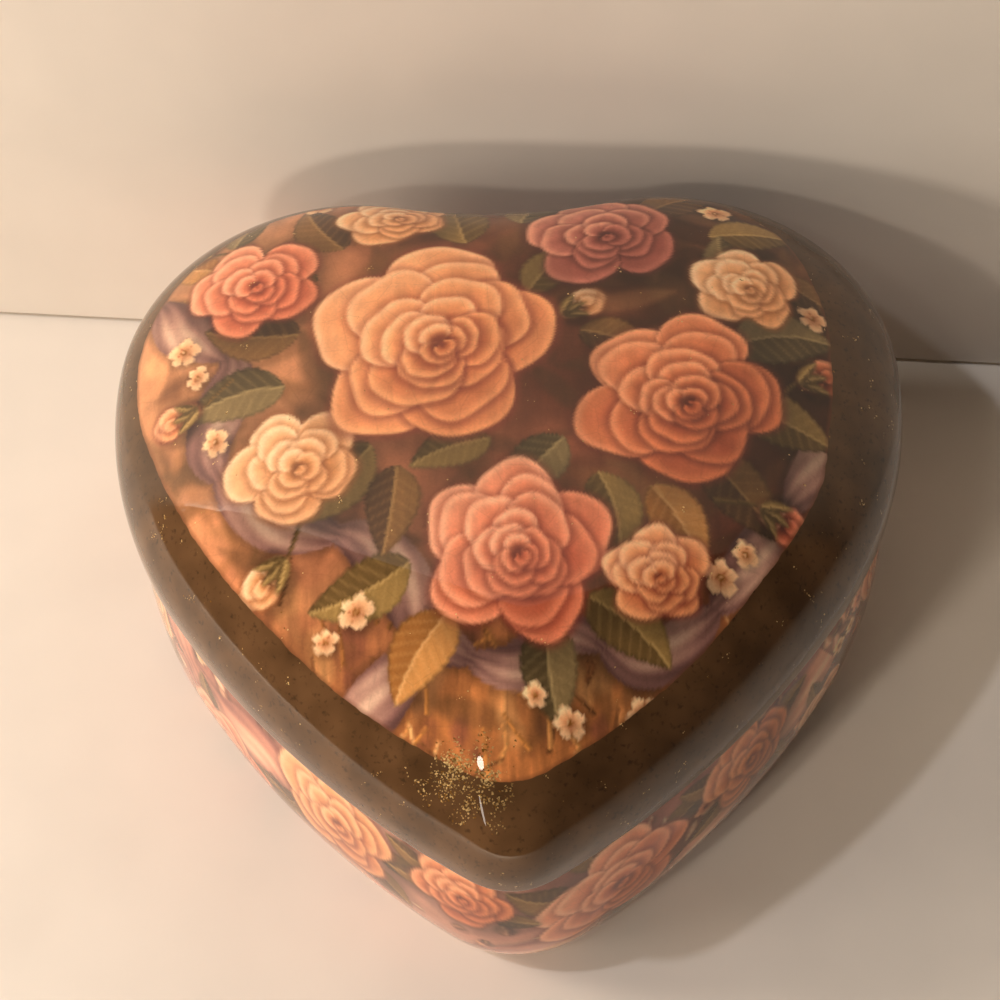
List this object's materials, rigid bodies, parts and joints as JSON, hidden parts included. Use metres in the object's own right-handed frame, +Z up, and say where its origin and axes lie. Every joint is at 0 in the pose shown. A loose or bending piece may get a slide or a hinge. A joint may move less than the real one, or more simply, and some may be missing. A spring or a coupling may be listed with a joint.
{
  "type": "heart-shaped trinket box",
  "caption": "Hollow heart-shaped ceramic box with a loose domed lid that lifts off.",
  "frame": {"origin": "on the ground under the foot, at the middle of the part's box in plan", "axes": "+Z up, the heart's tip towards -Y, the lobes towards +Y, width along X"},
  "size_m": [0.1298, 0.1228, 0.0675],
  "materials": {
    "body_glaze": "plum-brown printed decoration with salmon and cream foliage and roses under a clear gloss glaze",
    "lid_glaze": "printed rose picture in peach, plum and straw inside an olive-brown band, under a thick clear gloss glaze with gold flecks"
  },
  "bodies": {
    "root": {"box_body": "body_glaze", "lid": "lid_glaze"}
  },
  "joints": []
}
